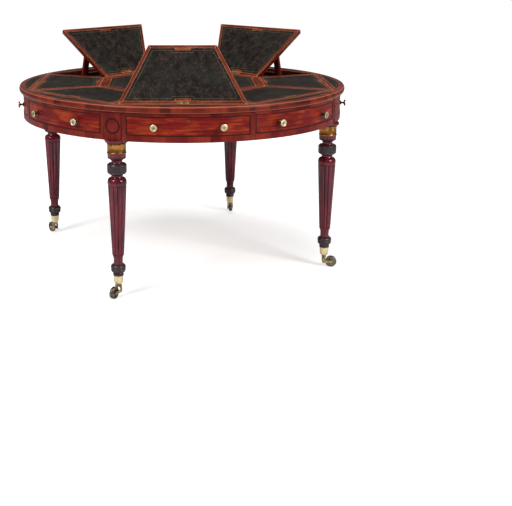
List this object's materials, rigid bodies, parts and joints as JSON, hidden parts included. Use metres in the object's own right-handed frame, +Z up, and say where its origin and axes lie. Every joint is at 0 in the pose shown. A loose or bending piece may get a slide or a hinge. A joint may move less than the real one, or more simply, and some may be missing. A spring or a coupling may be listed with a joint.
{
  "type": "circular library table",
  "caption": "Round library table: leather top with hinged reading slopes on props, drawers in the frieze, reeded turned legs on brass castors.",
  "frame": {"origin": "centre of the floor under the table", "axes": "+Z up, -Y to the front of the pictured view, +X to its right"},
  "size_m": [1.4016, 1.4016, 0.9692],
  "materials": {
    "mahogany": "polished red-brown mahogany",
    "turned_mahogany": "polished dark plum-red mahogany with ebonised rings",
    "carcase_wood": "plain planed wood",
    "leather": "worn near-black leather with a tooled line",
    "brass": "aged lacquered brass",
    "iron": "dark iron"
  },
  "bodies": {
    "table": {"top_rim": "mahogany", "segment_boards": "mahogany", "radial_rails": "mahogany", "centre_octagon": "mahogany", "fixed_leathers": "leather", "well_floor": "mahogany", "slope_hinges_and_pivots": "brass", "frieze_rails_and_stiles": "mahogany", "leg_blocks": "mahogany", "dummy_fronts": "mahogany", "dummy_knobs": "brass", "drawer_frame": "carcase_wood", "turned_legs": "turned_mahogany", "leg_collars": "brass", "leg_screws": "iron", "castor_sockets": "brass"},
    "slope_front": {"slope_board_front": "mahogany", "slope_leather_front": "leather"},
    "prop_front": {"slope_prop_front": "mahogany"},
    "slope_front_right": {"slope_board_front_right": "mahogany", "slope_leather_front_right": "leather"},
    "prop_front_right": {"slope_prop_front_right": "mahogany"},
    "slope_right": {"slope_board_right": "mahogany", "slope_leather_right": "leather"},
    "prop_right": {"slope_prop_right": "mahogany"},
    "slope_back_right": {"slope_board_back_right": "mahogany", "slope_leather_back_right": "leather"},
    "prop_back_right": {"slope_prop_back_right": "mahogany"},
    "slope_back": {"slope_board_back": "mahogany", "slope_leather_back": "leather"},
    "prop_back": {"slope_prop_back": "mahogany"},
    "slope_back_left": {"slope_board_back_left": "mahogany", "slope_leather_back_left": "leather"},
    "prop_back_left": {"slope_prop_back_left": "mahogany"},
    "slope_left": {"slope_board_left": "mahogany", "slope_leather_left": "leather"},
    "prop_left": {"slope_prop_left": "mahogany"},
    "slope_front_left": {"slope_board_front_left": "mahogany", "slope_leather_front_left": "leather"},
    "prop_front_left": {"slope_prop_front_left": "mahogany"},
    "drawer_front": {"drawer_front_front": "mahogany", "drawer_box_front": "carcase_wood", "drawer_knobs_front": "brass"},
    "drawer_right": {"drawer_front_right": "mahogany", "drawer_box_right": "carcase_wood", "drawer_knobs_right": "brass"},
    "drawer_back": {"drawer_front_back": "mahogany", "drawer_box_back": "carcase_wood", "drawer_knobs_back": "brass"},
    "drawer_left": {"drawer_front_left": "mahogany", "drawer_box_left": "carcase_wood", "drawer_knobs_left": "brass"},
    "castor_front_left": {"castor_fork_front_left": "brass"},
    "wheel_front_left": {"castor_wheel_front_left": "brass"},
    "castor_front_right": {"castor_fork_front_right": "brass"},
    "wheel_front_right": {"castor_wheel_front_right": "brass"},
    "castor_back_right": {"castor_fork_back_right": "brass"},
    "wheel_back_right": {"castor_wheel_back_right": "brass"},
    "castor_back_left": {"castor_fork_back_left": "brass"},
    "wheel_back_left": {"castor_wheel_back_left": "brass"}
  },
  "joints": [
    {"name": "slope_front_tilt", "type": "hinge", "parent": "table", "child": "slope_front", "pos_m": [0, -0.61709, 0.76], "axis": [1, 0, 0], "range_deg": [-49.4, 2.6]},
    {"name": "prop_front_swing", "type": "hinge", "parent": "table", "child": "prop_front", "pos_m": [0, -0.4872, 0.7424], "axis": [1, 0, 0], "range_deg": [-98.8, 5.2]},
    {"name": "slope_front_right_tilt", "type": "hinge", "parent": "table", "child": "slope_front_right", "pos_m": [0.43635, -0.43635, 0.76], "axis": [0.7071, 0.7071, 0], "range_deg": [0, 52]},
    {"name": "prop_front_right_swing", "type": "hinge", "parent": "table", "child": "prop_front_right", "pos_m": [0.3445, -0.3445, 0.7424], "axis": [0.7071, 0.7071, 0], "range_deg": [0, 104]},
    {"name": "slope_right_tilt", "type": "hinge", "parent": "table", "child": "slope_right", "pos_m": [0.61709, 0, 0.76], "axis": [0, 1, 0], "range_deg": [0, 52]},
    {"name": "prop_right_swing", "type": "hinge", "parent": "table", "child": "prop_right", "pos_m": [0.4872, 0, 0.7424], "axis": [0, 1, 0], "range_deg": [0, 104]},
    {"name": "slope_back_right_tilt", "type": "hinge", "parent": "table", "child": "slope_back_right", "pos_m": [0.24812, 0.24812, 0.76], "axis": [0.7071, -0.7071, 0], "range_deg": [-51.8, 0.2]},
    {"name": "prop_back_right_swing", "type": "hinge", "parent": "table", "child": "prop_back_right", "pos_m": [0.33997, 0.33997, 0.7424], "axis": [0.7071, -0.7071, 0], "range_deg": [-103.6, 0.4]},
    {"name": "slope_back_tilt", "type": "hinge", "parent": "table", "child": "slope_back", "pos_m": [0, 0.61709, 0.76], "axis": [-1, 0, 0], "range_deg": [0, 52]},
    {"name": "prop_back_swing", "type": "hinge", "parent": "table", "child": "prop_back", "pos_m": [0, 0.4872, 0.7424], "axis": [-1, 0, 0], "range_deg": [0, 104]},
    {"name": "slope_back_left_tilt", "type": "hinge", "parent": "table", "child": "slope_back_left", "pos_m": [-0.24812, 0.24812, 0.76], "axis": [0.7071, 0.7071, 0], "range_deg": [-51.8, 0.2]},
    {"name": "prop_back_left_swing", "type": "hinge", "parent": "table", "child": "prop_back_left", "pos_m": [-0.33997, 0.33997, 0.7424], "axis": [0.7071, 0.7071, 0], "range_deg": [-103.6, 0.4]},
    {"name": "slope_left_tilt", "type": "hinge", "parent": "table", "child": "slope_left", "pos_m": [-0.61709, 0, 0.76], "axis": [0, -1, 0], "range_deg": [0, 52]},
    {"name": "prop_left_swing", "type": "hinge", "parent": "table", "child": "prop_left", "pos_m": [-0.4872, 0, 0.7424], "axis": [0, -1, 0], "range_deg": [0, 104]},
    {"name": "slope_front_left_tilt", "type": "hinge", "parent": "table", "child": "slope_front_left", "pos_m": [-0.43635, -0.43635, 0.76], "axis": [0.7071, -0.7071, 0], "range_deg": [0, 52]},
    {"name": "prop_front_left_swing", "type": "hinge", "parent": "table", "child": "prop_front_left", "pos_m": [-0.3445, -0.3445, 0.7424], "axis": [0.7071, -0.7071, 0], "range_deg": [0, 104]},
    {"name": "drawer_front_slide", "type": "slide", "parent": "table", "child": "drawer_front", "axis": [0.0305, -0.9995, 0], "range_m": [0, 0.28]},
    {"name": "drawer_right_slide", "type": "slide", "parent": "table", "child": "drawer_right", "axis": [0.9995, 0.0305, 0], "range_m": [0, 0.28]},
    {"name": "drawer_back_slide", "type": "slide", "parent": "table", "child": "drawer_back", "axis": [-0.0305, 0.9995, 0], "range_m": [0, 0.28]},
    {"name": "drawer_left_slide", "type": "slide", "parent": "table", "child": "drawer_left", "axis": [-0.9995, -0.0305, 0], "range_m": [0, 0.28]},
    {"name": "castor_front_left_swivel", "type": "hinge", "parent": "table", "child": "castor_front_left", "pos_m": [-0.24989, -0.60329, 0.055], "axis": [0, 0, 1], "continuous": true},
    {"name": "wheel_front_left_spin", "type": "hinge", "parent": "castor_front_left", "child": "wheel_front_left", "pos_m": [-0.26579, -0.62873, 0.0235], "axis": [0.848, -0.5299, 0], "continuous": true},
    {"name": "castor_front_right_swivel", "type": "hinge", "parent": "table", "child": "castor_front_right", "pos_m": [0.60329, -0.24989, 0.055], "axis": [0, 0, 1], "continuous": true},
    {"name": "wheel_front_right_spin", "type": "hinge", "parent": "castor_front_right", "child": "wheel_front_right", "pos_m": [0.63318, -0.25251, 0.0235], "axis": [0.0872, 0.9962, 0], "continuous": true},
    {"name": "castor_back_right_swivel", "type": "hinge", "parent": "table", "child": "castor_back_right", "pos_m": [0.24989, 0.60329, 0.055], "axis": [0, 0, 1], "continuous": true},
    {"name": "wheel_back_right_spin", "type": "hinge", "parent": "castor_back_right", "child": "wheel_back_right", "pos_m": [0.25664, 0.63252, 0.0235], "axis": [-0.9744, 0.225, 0], "continuous": true},
    {"name": "castor_back_left_swivel", "type": "hinge", "parent": "table", "child": "castor_back_left", "pos_m": [-0.60329, 0.24989, 0.055], "axis": [0, 0, 1], "continuous": true},
    {"name": "wheel_back_left_spin", "type": "hinge", "parent": "castor_back_left", "child": "wheel_back_left", "pos_m": [-0.62093, 0.27416, 0.0235], "axis": [-0.809, -0.5878, 0], "continuous": true}
  ],
  "couplings": [
    {"joint": "prop_front_swing", "follows": "slope_front_tilt", "ratio": 2},
    {"joint": "prop_front_right_swing", "follows": "slope_front_right_tilt", "ratio": 2},
    {"joint": "prop_right_swing", "follows": "slope_right_tilt", "ratio": 2},
    {"joint": "prop_back_right_swing", "follows": "slope_back_right_tilt", "ratio": 2},
    {"joint": "prop_back_swing", "follows": "slope_back_tilt", "ratio": 2},
    {"joint": "prop_back_left_swing", "follows": "slope_back_left_tilt", "ratio": 2},
    {"joint": "prop_left_swing", "follows": "slope_left_tilt", "ratio": 2},
    {"joint": "prop_front_left_swing", "follows": "slope_front_left_tilt", "ratio": 2}
  ]
}
